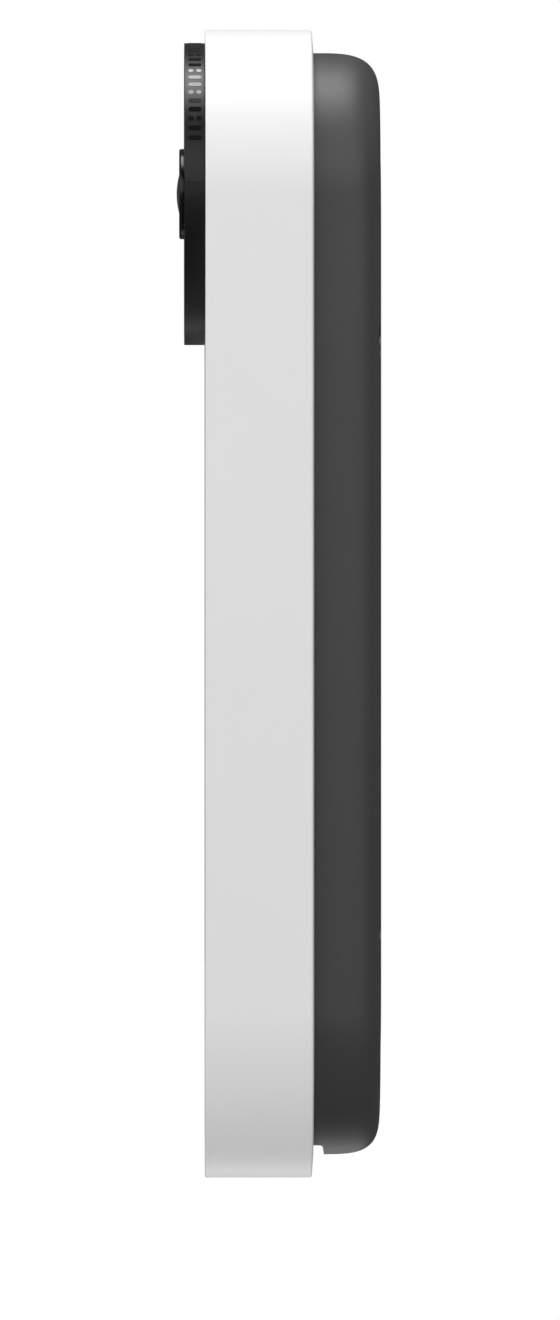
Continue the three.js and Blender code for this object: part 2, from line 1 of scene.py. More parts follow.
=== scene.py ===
"""The looks of a battery video doorbell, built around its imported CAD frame.

The frame is in metres, with +Z up, the front facing -Y and the wall at y = 0.
The studio is in metres too. Every piece is drawn in millimetres, and
new_object() turns it into metres. In outlines, a radius comes before its y.
"""

import json
import math

import bmesh
import bpy
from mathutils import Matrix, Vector


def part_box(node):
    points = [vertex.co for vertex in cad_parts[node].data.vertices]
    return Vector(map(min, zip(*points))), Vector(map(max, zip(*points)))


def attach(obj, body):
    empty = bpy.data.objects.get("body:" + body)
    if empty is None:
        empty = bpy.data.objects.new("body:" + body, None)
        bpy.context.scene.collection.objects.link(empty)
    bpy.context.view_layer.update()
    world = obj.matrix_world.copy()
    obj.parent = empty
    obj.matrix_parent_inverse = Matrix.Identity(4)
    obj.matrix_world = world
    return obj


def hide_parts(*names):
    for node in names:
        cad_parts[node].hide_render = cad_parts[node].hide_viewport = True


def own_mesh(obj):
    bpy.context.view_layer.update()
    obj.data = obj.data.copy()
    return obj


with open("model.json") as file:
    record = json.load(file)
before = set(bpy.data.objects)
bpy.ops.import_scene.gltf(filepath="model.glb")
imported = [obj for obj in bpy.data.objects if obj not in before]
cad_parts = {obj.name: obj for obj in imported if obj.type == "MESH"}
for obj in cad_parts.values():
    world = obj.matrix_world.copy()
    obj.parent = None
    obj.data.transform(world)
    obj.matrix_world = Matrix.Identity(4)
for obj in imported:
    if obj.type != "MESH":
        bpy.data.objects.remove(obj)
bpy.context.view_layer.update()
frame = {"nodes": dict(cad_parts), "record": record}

MM = 0.001
ARC_STEPS = 48  # steps in each half circle of a large round
SMALL_STEPS = 20  # steps in each half circle of a small one
TINY = 0.01  # the radius, in mm, that stands for a point on the axis


# ---- the camera and the studio ----

PICTURE_HEIGHT = 0.18405  # what the picture spans at the object
PICTURE_CENTRE = Vector((0.0, -0.014, -0.00785))
CAMERA_DISTANCE = 3.0
CAMERA_AZIMUTH = math.radians(89.6)
SENSOR = 36.0
SKY_STRENGTH = 0.45  # the sky that lights matt surfaces
SKY_SHEEN = 0.1  # the darker sky that glossy ones mirror
LOW_SPREAD = math.radians(90)  # narrow enough to keep the low light off the floor
FLOOR_Z = -0.2
FLOOR_RADIUS = 0.9
FLOOR_GREY = 0.65
FADE_START = 0.25  # how far from the middle the floor begins to fade into the backdrop
FADE_LEAST = 0.45  # how much of the backdrop's white it has before that

# name, place, width and height, power, the point it looks at
LIGHTS = [
    ("overhead", (-0.02, -0.012, 0.6), (0.3, 0.34), 1.88, (0.0, -0.012, 0.0)),
    ("key_front", (0.42, -0.48, 0.3), (0.5, 0.5), 0.9, (0.0, -0.012, 0.03)),
    ("key_side", (0.62, -0.03, 0.3), (0.8, 0.4), 0.92, (0.0, -0.012, 0.03)),
    ("key_rear", (0.5, 0.4, 0.3), (0.5, 0.5), 0.66, (0.0, -0.012, 0.03)),
    ("low", (-0.1, -0.004, -0.16), (0.08, 0.08), 0.0078, (0.0, -0.012, -0.07)),
    ("fill", (-0.7, -0.9, 0.4), (0.8, 0.8), 0.5, (0.0, 0.0, 0.0)),
    ("back", (-0.5, 0.9, 0.5), (0.8, 0.8), 0.5, (0.0, 0.0, 0.0)),
]


def link(obj):
    bpy.context.collection.objects.link(obj)
    return obj


def make_camera():
    data = bpy.data.cameras.new("camera")
    data.sensor_width = SENSOR
    data.lens = SENSOR * CAMERA_DISTANCE / PICTURE_HEIGHT
    data.clip_start = 0.1
    data.clip_end = 20.0
    camera = link(bpy.data.objects.new("camera", data))
    back = Vector((math.sin(CAMERA_AZIMUTH), -math.cos(CAMERA_AZIMUTH), 0.0))
    camera.location = PICTURE_CENTRE + back * CAMERA_DISTANCE
    camera.rotation_euler = back.to_track_quat("Z", "Y").to_euler()
    bpy.context.scene.camera = camera


def area_light(name, location, size, power, aim):
    data = bpy.data.lights.new(name, "AREA")
    data.shape = "RECTANGLE"
    data.size, data.size_y = size
    data.energy = power
    light = link(bpy.data.objects.new(name, data))
    light.location = location
    toward = Vector(aim) - Vector(location)
    light.rotation_euler = toward.to_track_quat("-Z", "Y").to_euler()
    light.visible_camera = False


def make_world():
    """White behind the object, and a softer grey for the light that falls on it."""
    world = bpy.data.worlds.new("studio")
    bpy.context.scene.world = world
    world.use_nodes = True
    nodes, links = world.node_tree.nodes, world.node_tree.links
    nodes.clear()
    seen = nodes.new("ShaderNodeBackground")
    seen.inputs["Color"].default_value = (1.0, 1.0, 1.0, 1.0)
    lit = nodes.new("ShaderNodeBackground")
    lit.inputs["Color"].default_value = (1.0, 1.0, 1.0, 1.0)
    rays = nodes.new("ShaderNodeLightPath")
    strength = nodes.new("ShaderNodeMapRange")
    strength.inputs["To Min"].default_value = SKY_STRENGTH
    strength.inputs["To Max"].default_value = SKY_SHEEN
    mix = nodes.new("ShaderNodeMixShader")
    out = nodes.new("ShaderNodeOutputWorld")
    links.new(rays.outputs["Is Glossy Ray"], strength.inputs["Value"])
    links.new(strength.outputs["Result"], lit.inputs["Strength"])
    links.new(rays.outputs["Is Camera Ray"], mix.inputs["Fac"])
    links.new(lit.outputs["Background"], mix.inputs[1])
    links.new(seen.outputs["Background"], mix.inputs[2])
    links.new(mix.outputs["Shader"], out.inputs["Surface"])


def floor_material():
    """Pale paint that fades into the white backdrop towards the floor's edge."""
    material, shader = new_material("floor_paint")
    nodes, links = material.node_tree.nodes, material.node_tree.links
    shader.inputs["Base Color"].default_value = (FLOOR_GREY, FLOOR_GREY, FLOOR_GREY, 1.0)
    shader.inputs["Roughness"].default_value = 0.9
    place = nodes.new("ShaderNodeTexCoord")
    reach = nodes.new("ShaderNodeVectorMath")
    reach.operation = "LENGTH"
    fade = nodes.new("ShaderNodeMapRange")
    fade.interpolation_type = "SMOOTHSTEP"
    fade.inputs["From Min"].default_value = FADE_START
    fade.inputs["From Max"].default_value = FLOOR_RADIUS
    fade.inputs["To Min"].default_value = FADE_LEAST
    fade.inputs["To Max"].default_value = 1.0
    rays = nodes.new("ShaderNodeLightPath")
    both = nodes.new("ShaderNodeMath")
    both.operation = "MULTIPLY"
    white = nodes.new("ShaderNodeEmission")
    mix = nodes.new("ShaderNodeMixShader")
    out = nodes["Material Output"]
    links.new(place.outputs["Object"], reach.inputs[0])
    links.new(reach.outputs["Value"], fade.inputs["Value"])
    links.new(fade.outputs["Result"], both.inputs[0])
    links.new(rays.outputs["Is Camera Ray"], both.inputs[1])
    links.new(both.outputs["Value"], mix.inputs["Fac"])
    links.new(shader.outputs["BSDF"], mix.inputs[1])
    links.new(white.outputs["Emission"], mix.inputs[2])
    links.new(mix.outputs["Shader"], out.inputs["Surface"])
    return material


def make_floor():
    """A round floor. Gloss doesn't mirror it, as under a photographer's dark flag."""
    sides = 96
    points = []
    for i in range(sides):
        turn = 2 * math.pi * i / sides
        points.append((FLOOR_RADIUS * math.cos(turn), FLOOR_RADIUS * math.sin(turn), 0.0))
    mesh = bpy.data.meshes.new("floor")
    mesh.from_pydata(points, [], [tuple(range(sides))])
    mesh.materials.append(floor_material())
    floor = link(bpy.data.objects.new("floor", mesh))
    floor.location.z = FLOOR_Z
    floor.visible_glossy = False


# ---- materials ----

def new_material(name):
    material = bpy.data.materials.new(name)
    material.use_nodes = True
    return material, material.node_tree.nodes["Principled BSDF"]


def noise(material, size, detail=2.0, stretch=(1.0, 1.0, 1.0)):
    """A noise value with features of a size in mm, in object space so that it stays on the piece."""
    nodes, links = material.node_tree.nodes, material.node_tree.links
    place = nodes.new("ShaderNodeTexCoord")
    mapping = nodes.new("ShaderNodeMapping")
    mapping.inputs["Scale"].default_value = stretch
    texture = nodes.new("ShaderNodeTexNoise")
    texture.inputs["Scale"].default_value = 1 / (size * MM)
    texture.inputs["Detail"].default_value = detail
    links.new(place.outputs["Object"], mapping.inputs["Vector"])
    links.new(mapping.outputs["Vector"], texture.inputs["Vector"])
    return texture.outputs["Fac"]


def ramp(material, value, low, high):
    """A colour that runs from low to high over the middle of the value's range."""
    nodes, links = material.node_tree.nodes, material.node_tree.links
    node = nodes.new("ShaderNodeValToRGB")
    first, last = node.color_ramp.elements
    first.position, last.position = 0.35, 0.65
    first.color = (*low, 1.0)
    last.color = (*high, 1.0)
    links.new(value, node.inputs["Fac"])
    return node.outputs["Color"]


def spread(material, value, low, high):
    """A number that runs from low to high over the middle of the value's range."""
    nodes, links = material.node_tree.nodes, material.node_tree.links
    node = nodes.new("ShaderNodeMapRange")
    node.inputs["From Min"].default_value = 0.3
    node.inputs["From Max"].default_value = 0.7
    node.inputs["To Min"].default_value = low
    node.inputs["To Max"].default_value = high
    links.new(value, node.inputs["Value"])
    return node.outputs["Result"]


def bump(material, value, height):
    """Raises the surface by up to a height in mm where the value is high."""
    nodes, links = material.node_tree.nodes, material.node_tree.links
    node = nodes.new("ShaderNodeBump")
    node.inputs["Distance"].default_value = height * MM
    links.new(value, node.inputs["Height"])
    links.new(node.outputs["Normal"], nodes["Principled BSDF"].inputs["Normal"])


def moulded(name, colour, roughness, grain=0.35, height=0.004, tint=0.04, coat=0.0, specular=0.5):
    """Moulded plastic, rubber or foam: fine grain, slightly uneven colour and gloss."""
    material, shader = new_material(name)
    links = material.node_tree.links
    fine = noise(material, grain, 3.0)
    broad = noise(material, 18)
    darker = tuple(c * (1 - tint) for c in colour)
    links.new(ramp(material, broad, darker, colour), shader.inputs["Base Color"])
    duller = min(roughness * 1.08, 1.0)
    links.new(spread(material, fine, roughness * 0.92, duller), shader.inputs["Roughness"])
    shader.inputs["Coat Weight"].default_value = coat
    shader.inputs["Coat Roughness"].default_value = 0.05
    shader.inputs["Specular IOR Level"].default_value = specular
    bump(material, fine, height)
    return material


def metal(name, colour, roughness, stretch=(1.0, 1.0, 1.0), grain=0.12, height=0.003):
    """Metal with a fine drawn or tumbled grain."""
    material, shader = new_material(name)
    links = material.node_tree.links
    shader.inputs["Metallic"].default_value = 1.0
    fine = noise(material, grain, 3.0, stretch)
    darker = tuple(c * 0.85 for c in colour)
    links.new(ramp(material, fine, darker, colour), shader.inputs["Base Color"])
    links.new(spread(material, fine, roughness * 0.8, roughness * 1.2), shader.inputs["Roughness"])
    bump(material, fine, height)
    return material


def clear(name, colour, roughness, transmission):
    """Glass or clear plastic, with a very faint unevenness in its gloss."""
    material, shader = new_material(name)
    shader.inputs["Base Color"].default_value = (*colour, 1.0)
    shader.inputs["Transmission Weight"].default_value = transmission
    shader.inputs["IOR"].default_value = 1.5
    smear = noise(material, 4)
    uneven = spread(material, smear, roughness * 0.7, roughness * 1.3)
    material.node_tree.links.new(uneven, shader.inputs["Roughness"])
    return material


def circuit(name):
    """Green solder resist over raised straight tracks."""
    material, shader = new_material(name)
    nodes, links = material.node_tree.nodes, material.node_tree.links
    place = nodes.new("ShaderNodeTexCoord")
    turn = nodes.new("ShaderNodeMapping")
    turn.inputs["Rotation"].default_value = (math.radians(90), 0.0, 0.0)
    tracks = nodes.new("ShaderNodeTexBrick")
    tracks.inputs["Color1"].default_value = (0.012, 0.13, 0.06, 1.0)
    tracks.inputs["Color2"].default_value = (0.015, 0.16, 0.075, 1.0)
    tracks.inputs["Mortar"].default_value = (0.05, 0.3, 0.12, 1.0)
    tracks.inputs["Scale"].default_value = 1 / (3 * MM)
    tracks.inputs["Mortar Size"].default_value = 0.03
    links.new(place.outputs["Object"], turn.inputs["Vector"])
    links.new(turn.outputs["Vector"], tracks.inputs["Vector"])
    links.new(tracks.outputs["Color"], shader.inputs["Base Color"])
    shader.inputs["Roughness"].default_value = 0.35
    bump(material, tracks.outputs["Fac"], 0.01)
    return material


# by material slot, and satin_black for the bezel, which is duller than its slot's gloss
MATERIALS = {
    "white_plastic": moulded("white_plastic", (0.86, 0.86, 0.857), 0.42, tint=0.01, height=0.003),
    "dark_plastic": moulded(
        "dark_plastic", (0.04, 0.04, 0.041), 0.54, tint=0.05, height=0.012, specular=1.0
    ),
    "gloss_black": moulded("gloss_black", (0.004, 0.004, 0.0043), 0.08, height=0.0, coat=0.6),
    "satin_black": moulded("satin_black", (0.004, 0.004, 0.0043), 0.24, height=0.0),
    "black_plastic": moulded("black_plastic", (0.004, 0.004, 0.0042), 0.38, height=0.002),
    "lens_glass": clear("lens_glass", (0.08, 0.1, 0.14), 0.02, 0.85),
    "optical_glass": clear("optical_glass", (0.8, 0.86, 0.95), 0.02, 0.95),
    "filter_glass": clear("filter_glass", (0.5, 0.8, 0.85), 0.03, 0.8),
    "silicone": moulded("silicone", (0.03, 0.03, 0.031), 0.55, tint=0.06),
    "diffuser": clear("diffuser", (0.82, 0.84, 0.86), 0.35, 0.35),
    "circuit_board": circuit("circuit_board"),
    "flex_circuit": moulded("flex_circuit", (0.45, 0.2, 0.05), 0.3, coat=0.4),
    "steel": metal("steel", (0.6, 0.6, 0.61), 0.32),
    "tinned_steel": metal("tinned_steel", (0.72, 0.73, 0.74), 0.25),
    "aluminium": metal("aluminium", (0.62, 0.63, 0.64), 0.38, stretch=(1.0, 1.0, 0.04)),
    "brass": metal("brass", (0.72, 0.5, 0.2), 0.28),
    "copper": metal("copper", (0.7, 0.34, 0.18), 0.3, stretch=(0.1, 1.0, 1.0)),
    "battery_wrap": metal("battery_wrap", (0.45, 0.48, 0.52), 0.35, grain=0.5, height=0.01),
    "foam": moulded("foam", (0.02, 0.02, 0.02), 0.9, grain=0.6, height=0.1),
}


# ---- making meshes, in millimetres ----

def new_object(name, build):
    """A bmesh drawn in millimetres, as an object in metres."""
    bmesh.ops.recalc_face_normals(build, faces=build.faces)
    bmesh.ops.scale(build, vec=(MM, MM, MM), verts=build.verts)
    mesh = bpy.data.meshes.new(name)
    build.to_mesh(mesh)
    build.free()
    return link(bpy.data.objects.new(name, mesh))


def rounded(corners, steps=5, closed=False):
    """Turns (radius, y, rounding) corners into (radius, y) points, with an arc for each rounding."""
    count = len(corners)
    outline = []
    for i, (r, y, rounding) in enumerate(corners):
        here = Vector((r, y))
        if rounding <= 0 or (not closed and i in (0, count - 1)):
            outline.append((r, y))
            continue
        before = Vector(corners[i - 1][:2]) - here
        after = Vector(corners[(i + 1) % count][:2]) - here
        half = before.angle(after) / 2
        reach = min(rounding / math.tan(half), before.length * 0.49, after.length * 0.49)
        radius = reach * math.tan(half)
        before.normalize()
        after.normalize()
        centre = here + (before + after).normalized() * (radius / math.sin(half))
        first = here + before * reach - centre
        last = here + after * reach - centre
        sweep = first.angle_signed(last)
        for k in range(steps + 1):
            turn = -sweep * k / steps
            cos, sin = math.cos(turn), math.sin(turn)
            point = centre + Vector((first.x * cos - first.y * sin, first.x * sin + first.y * cos))
            outline.append((point.x, point.y))
    return outline


def pill_ring(top_radius, foot_radius, y, half_span, centre, steps):
    """The points of one slot-shaped ring: a round end above and one below."""
    x0, z0 = centre
    points = []
    for radius, side, start in ((top_radius, 1, 0.0), (foot_radius, -1, math.pi)):
        for k in range(steps + 1):
            turn = start + math.pi * k / steps
            x = x0 + radius * math.cos(turn)
            z = z0 + side * half_span + radius * math.sin(turn)
            points.append((x, y, z))
    return points


def pill_loft(name, outline, half_span=0.0, centre=(0.0, 0.0), steps=ARC_STEPS, closed=False):
    """A solid of slot-shaped rings, round ones where half_span is 0.

    A point is (radius, y), or (radius, y, foot radius) where the two ends differ.
    A closed outline makes a ring, and an open one is capped at both ends.
    """
    build = bmesh.new()
    rings = []
    for radius, y, *foot in outline:
        foot_radius = foot[0] if foot else radius
        points = pill_ring(max(radius, TINY), max(foot_radius, TINY), y, half_span, centre, steps)
        rings.append([build.verts.new(p) for p in points])
    following_rings = rings[1:] + rings[:1] if closed else rings[1:]
    for ring, following in zip(rings, following_rings):
        size = len(ring)
        for k in range(size):
            m = (k + 1) % size
            build.faces.new((ring[k], ring[m], following[m], following[k]))
    if not closed:
        build.faces.new(rings[0])
        build.faces.new(rings[-1])
    bmesh.ops.remove_doubles(build, verts=build.verts, dist=1e-4)
    bmesh.ops.dissolve_degenerate(build, edges=build.edges, dist=1e-4)
    return new_object(name, build)


def block(name, low, high, rounding=0.0, steps=3):
    """A box between two corners, with all its edges rounded."""
    build = bmesh.new()
    bmesh.ops.create_cube(build, size=1.0)
    for v in build.verts:
        for axis in range(3):
            v.co[axis] = high[axis] if v.co[axis] > 0 else low[axis]
    if rounding:
        bmesh.ops.bevel(
            build, geom=build.edges, offset=rounding, segments=steps, profile=0.5, affect="EDGES"
        )
    return new_object(name, build)


def prism(name, outline, start, end, rounding=0.0):
    """A solid whose two end faces are the same outline, given as points, moved by start and end."""
    build = bmesh.new()
    first = [build.verts.new(Vector(p) + Vector(start)) for p in outline]
    last = [build.verts.new(Vector(p) + Vector(end)) for p in outline]
    caps = [build.faces.new(first), build.faces.new(last)]
    for k in range(len(outline)):
        m = (k + 1) % len(outline)
        build.faces.new((first[k], first[m], last[m], last[k]))
    if rounding:
        edges = {edge for cap in caps for edge in cap.edges}
        bmesh.ops.bevel(
            build, geom=list(edges), offset=rounding, segments=2, profile=0.5, affect="EDGES"
        )
    return new_object(name, build)


def side_prism(name, outline, half_width, rounding=0.0):
    """A prism along x, on both sides of x = 0, from an outline in y and z."""
    points = [(0.0, y, z) for y, z in outline]
    return prism(name, points, (-half_width, 0.0, 0.0), (half_width, 0.0, 0.0), rounding)


def front_prism(name, outline, centre, low_y, high_y):
    """A prism along y, around a centre in x and z, from an outline in x and z."""
    x0, z0 = centre
    points = [(x0 + x, 0.0, z0 + z) for x, z in outline]
    return prism(name, points, (0.0, low_y, 0.0), (0.0, high_y, 0.0))


def boolean(target, tools, operation="DIFFERENCE"):
    """Cuts the tools from the target, or joins them to it, one at a time."""
    for tool in tools:
        modifier = target.modifiers.new("boolean", "BOOLEAN")
        modifier.object = tool
        modifier.operation = operation
        modifier.solver = "EXACT"
        bpy.context.view_layer.update()
        evaluated = target.evaluated_get(bpy.context.evaluated_depsgraph_get())
        result = bpy.data.meshes.new_from_object(evaluated)
        target.modifiers.clear()
        target.data = result
    for tool in tools:
        bpy.data.objects.remove(tool)
    return target


def finished(obj, slot, body, *nodes, angle=35, material=None):
    """Shades a piece, gives it a material, and puts it on its body in place of its CAD nodes.

    The material is the slot's own, unless another one is named.
    """
    mesh = obj.data
    mesh.materials.clear()
    mesh.materials.append(MATERIALS[material or slot])
    mesh.shade_smooth()
    mesh.set_sharp_from_angle(angle=math.radians(angle))
    normals = obj.modifiers.new("even_normals", "WEIGHTED_NORMAL")
    normals.keep_sharp = True
    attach(obj, body)
    if nodes:
        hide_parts(*nodes)
    return obj


# ---- sizes taken from the frame, in millimetres ----

def box_mm(node):
    low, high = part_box(node)
    return low / MM, high / MM


def middle(node):
    """Where a CAD node's middle is in x and z, without the frame's rounding errors."""
    low, high = box_mm(node)
    return round((low.x + high.x) / 2, 3), round((low.z + high.z) / 2, 3)


front_low, front_high = box_mm("front_shell")
rear_low, rear_high = box_mm("rear_shell")
housing_low, housing_high = box_mm("camera_housing")
FRONT_RADIUS = (front_high.x - front_low.x) / 2
REAR_RADIUS = (rear_high.x - rear_low.x) / 2
END_CENTRE = (front_high.z - front_low.z) / 2 - FRONT_RADIUS
FRONT_Y = front_low.y
BACK_Y = rear_high.y
DISC_RADIUS = (housing_high.x - housing_low.x) / 2
DISC_FRONT = housing_low.y
BEZEL_FRONT = box_mm("lens_bezel")[0].y
CAMERA = (0.0, END_CENTRE)
BUTTON = (0.0, -END_CENTRE)
MOTION_SENSOR = (0.0, END_CENTRE - 12.5)
CASE_SCREWS = {
    f"case_screw_{height}_{side}": middle(f"case_screw_{height}_{side}")
    for height in ("upper", "lower")
    for side in ("left", "right")
}
TERMINALS = {f"terminal_screw_{side}": middle(f"terminal_screw_{side}") for side in ("left", "right")}
WALL_SCREWS = {f"wall_screw_{height}": middle(f"wall_screw_{height}") for height in ("upper", "lower")}
RIVET = middle("latch_rivet")
RESET = middle("reset_button")
port_low, port_high = box_mm("usb_port")
PORT_Y = round((port_low.y + port_high.y) / 2, 3)
PORT_Z = middle("usb_port")[1]
PORT_HALF_SPAN = 2.9
MICROPHONE = (0.0, 28.0)
SPEAKER_Z = 7.0
PLATE_HALF_SPAN = 52.0


make_world()
make_camera()
make_floor()
for light in LIGHTS:
    area_light(*light)
bpy.data.lights["low"].spread = LOW_SPREAD


# ---- the front shell ----

def flared_hole(radius, flare, face, depth):
    """From outside the face to the bottom of the hole, with a quarter round at the mouth."""
    outline = [(radius + flare, face - 1)]
    steps = 5
    for k in range(steps + 1):
        turn = math.pi / 2 * k / steps
        outline.append((radius + flare * (1 - math.sin(turn)), face + flare * (1 - math.cos(turn))))
    outline.append((radius, face + depth))
    return outline


def front_hole(radius, flare, centre, half_span=0.0, steps=SMALL_STEPS):
    return pill_loft("hole_tool", flared_hole(radius, flare, FRONT_Y, 3.0), half_span, centre, steps)


def rod(radius, low_y, high_y, centre, steps=SMALL_STEPS):
    return pill_loft("rod_tool", [(radius, low_y), (radius, high_y)], 0.0, centre, steps)


def make_front_shell():
    bore, wall, seam = 20.0, 2.0, -9.4
    inside = FRONT_Y + wall
    outline = rounded([
        (0.0, FRONT_Y, 0),
        (FRONT_RADIUS, FRONT_Y, 0.1),
        (FRONT_RADIUS, seam - 0.2, 0.35),
        (bore, seam, 0.12),
        (bore, inside, 0.6),
        (0.0, inside, 0),
    ], steps=6)
    shell = pill_loft("front_shell_fine", outline[1:-1], END_CENTRE)
    boss_radius, boss_back, screw_bore, bore_front = 2.6, -5.2, 1.15, -14.0
    screw_places = CASE_SCREWS.values()
    bosses = [rod(boss_radius, inside - 1, boss_back, place, 12) for place in screw_places]
    boolean(shell, bosses, "UNION")
    tools = [rod(screw_bore, bore_front, 0.0, place, 12) for place in screw_places]
    camera_hole, button_hole, microphone_hole = 18.0, 13.6, 0.55
    tools.append(front_hole(camera_hole, 0.1, CAMERA, steps=ARC_STEPS))
    tools.append(front_hole(button_hole, 0.15, BUTTON, steps=ARC_STEPS))
    tools.append(front_hole(microphone_hole, 0.15, MICROPHONE))
    slots, pitch, slot_radius, slot_half_span = 5, 3.0, 0.6, 3.4
    for i in range(slots):
        x = (i - (slots - 1) / 2) * pitch
        tools.append(front_hole(slot_radius, 0.2, (x, SPEAKER_Z), slot_half_span))
    boolean(shell, tools)
    finished(shell, "white_plastic", "doorbell", "front_shell")


# ---- the rear shell ----

FLAT_RADIUS = 11.2  # where the rear shell's flat back ends
TOP_POWER, FOOT_POWER = 3.6, 4.2  # how full its shoulder is at the top and at the foot
SHOULDER_Y = -9.35
SHELL_FLOOR = -4.9


def shoulder_radius(y, power):
    depth = min((y - SHOULDER_Y) / (BACK_Y - SHOULDER_Y), 1.0)
    return FLAT_RADIUS + (REAR_RADIUS - FLAT_RADIUS) * (1 - depth ** power) ** (1 / power)


def rear_outside(name):
    """The rear shell's outside, filled: a straight skirt, then soft shoulders into the flat back."""
    skirt = rear_low.y
    groove_radius, groove_front, groove_back = 18.75, -12.3, -10.9
    outline = [(REAR_RADIUS - 0.1, skirt), (REAR_RADIUS, skirt + 0.1)]
    outline += [(REAR_RADIUS, groove_front), (groove_radius, groove_front)]
    outline += [(groove_radius, groove_back), (REAR_RADIUS, groove_back)]
    steps = 30
    for i in range(steps + 1):
        deep = math.sin(math.pi / 2 * i / steps) ** (2 / TOP_POWER)
        y = SHOULDER_Y + (BACK_Y - SHOULDER_Y) * deep
        outline.append((shoulder_radius(y, TOP_POWER), y, shoulder_radius(y, FOOT_POWER)))
    return pill_loft(name, outline, END_CENTRE)


def flap_box(name, grow):
    """The block at the shell's side that the flap fills, or a grown one for its pocket."""
    outer_x, inner_x, half_height = -25.0, -18.4, 6.5
    low = (outer_x, PORT_Y - 2.1 - grow, PORT_Z - half_height - 2 * grow)
    high = (inner_x + grow, PORT_Y + 2.3 + grow, PORT_Z + half_height + grow)
    return block(name, low, high, 0.5, 4)


def make_rear_shell():
    hollow_radius, hollow_front = 17.9, -14.0
    hollow_outline = [(hollow_radius, hollow_front), (hollow_radius, SHELL_FLOOR)]
    hollow = pill_loft("hollow_tool", hollow_outline, END_CENTRE)
    hook_wall = block("hook_wall", (-7.0, -5.8, 60.5), (7.0, 0.0, 80.0))
    latch_wall = block("latch_wall", (-6.4, -10.6, -80.0), (6.4, 0.0, -51.8))
    boolean(hollow, [hook_wall, latch_wall])
    notch = [  # in y and z
        (-9.9, -75.37), (-8.65, -75.37), (-8.35, -75.42), (-8.12, -75.6),
        (-7.98, -75.95), (-7.9, -76.5), (-7.85, -80.0), (-9.9, -80.0),
    ]
    recess = [(10.8, -3.5), (10.8, -0.35), (11.15, 0.0), (12.0, 0.6)]
    port_outline = stadium_x(1.9, PORT_HALF_SPAN)
    hook_slot, latch_slot = 5.6, 5.2  # half widths
    tools = [
        hollow,
        side_prism("notch_tool", notch, 12.0),
        block("key_slot_tool", (-2.6, -9.3, -77.0), (2.6, -8.3, -72.6)),
        pill_loft("recess_tool", recess, PLATE_HALF_SPAN),
        block("hook_tool", (-hook_slot, -4.4, 58.0), (hook_slot, -1.5, 72.4)),
        block("hook_mouth_tool", (-hook_slot, -2.0, 58.0), (hook_slot, 1.0, 68.5), 0.3),
        block("latch_tool", (-latch_slot, -9.4, -73.6), (latch_slot, -1.6, -53.0)),
        block("latch_mouth_tool", (-latch_slot, -2.0, -68.0), (latch_slot, 1.0, -58.0), 0.3),
        flap_box("flap_pocket_tool", 0.3),
        prism("port_mouth_tool", port_outline, (-20.0, 0.0, 0.0), (-17.4, 0.0, 0.0)),
        rod(2.2, -6.0, 0.0, RESET),
    ]
    head_hole, shank_hole, terminal_hole = 2.6, 1.3, 2.9
    for place in CASE_SCREWS.values():
        tools.append(rod(head_hole, -3.9, 1.0, place))
        tools.append(rod(shank_hole, -6.0, 0.0, place))
    for place in TERMINALS.values():
        tools.append(rod(terminal_hole, -6.0, 0.0, place))
    shell = boolean(rear_outside("rear_shell_fine"), tools)
    finished(shell, "dark_plastic", "doorbell", "rear_shell")


def stadium_x(radius, half_span):
    """The charging port's round-ended outline, as points in the plane x = 0."""
    steps = 10
    points = []
    for side, start in ((1, 0.0), (-1, math.pi)):
        for k in range(steps + 1):
            turn = start + math.pi * k / steps
            y = PORT_Y + radius * math.cos(turn)
            z = PORT_Z + side * half_span + radius * math.sin(turn)
            points.append((0.0, y, z))
    return points


make_front_shell()
make_rear_shell()


# ---- the camera disc ----

def make_camera_disc():
    bore, seat, lip, neck, neck_back = 16.2, -26.06, 20.45, 17.6, -20.5
    back = FRONT_Y - 0.03
    edge = 0.1
    outline = rounded([
        (bore, seat, 0),
        (lip, seat, 0),
        (lip, DISC_FRONT, edge / 2),
        (DISC_RADIUS, DISC_FRONT, edge),
        (DISC_RADIUS, back, edge),
        (neck, back, 0),
        (neck, neck_back, edge),
        (bore, neck_back, edge),
    ], closed=True)
    disc = pill_loft("camera_housing_fine", outline, centre=CAMERA, closed=True)
    line_z, line_width, line_depth, inset = 58.2, 0.16, 0.12, 0.2  # the parting line on each side
    tools = []
    for side in (-1, 1):
        low_x, high_x = sorted((side * (DISC_RADIUS - line_depth), side * (DISC_RADIUS + 1)))
        low = (low_x, DISC_FRONT + inset, line_z)
        high = (high_x, back - inset, line_z + line_width)
        tools.append(block("parting_tool", low, high))
    boolean(disc, tools)
    finished(disc, "black_plastic", "doorbell", "camera_housing")


def rim_mark(build, turn, offset, length):
    """One round-ended bar on the disc's rim, laid across it at an angle from the top."""
    width, sunk, height = 0.72, 0.05, 0.03
    outward = Vector((math.sin(turn), 0.0, math.cos(turn)))
    along = Vector((math.cos(turn), 0.0, -math.sin(turn)))
    middle = Vector((CAMERA[0], (DISC_FRONT + FRONT_Y) / 2 + offset, CAMERA[1]))
    steps = 8
    rings = []
    for reach in (DISC_RADIUS - sunk, DISC_RADIUS + height):
        ring = []
        for side in (1, -1):
            for k in range(steps + 1):
                bend = math.pi * k / steps
                sideways = side * width / 2 * math.cos(bend)
                across = side * ((length - width) / 2 + width / 2 * math.sin(bend))
                point = middle + outward * reach + along * sideways + Vector((0.0, across, 0.0))
                ring.append(build.verts.new(point))
        rings.append(ring)
    build.faces.new(rings[0])
    build.faces.new(rings[1])
    size = len(rings[0])
    for k in range(size):
        m = (k + 1) % size
        build.faces.new((rings[0][k], rings[0][m], rings[1][m], rings[1][k]))


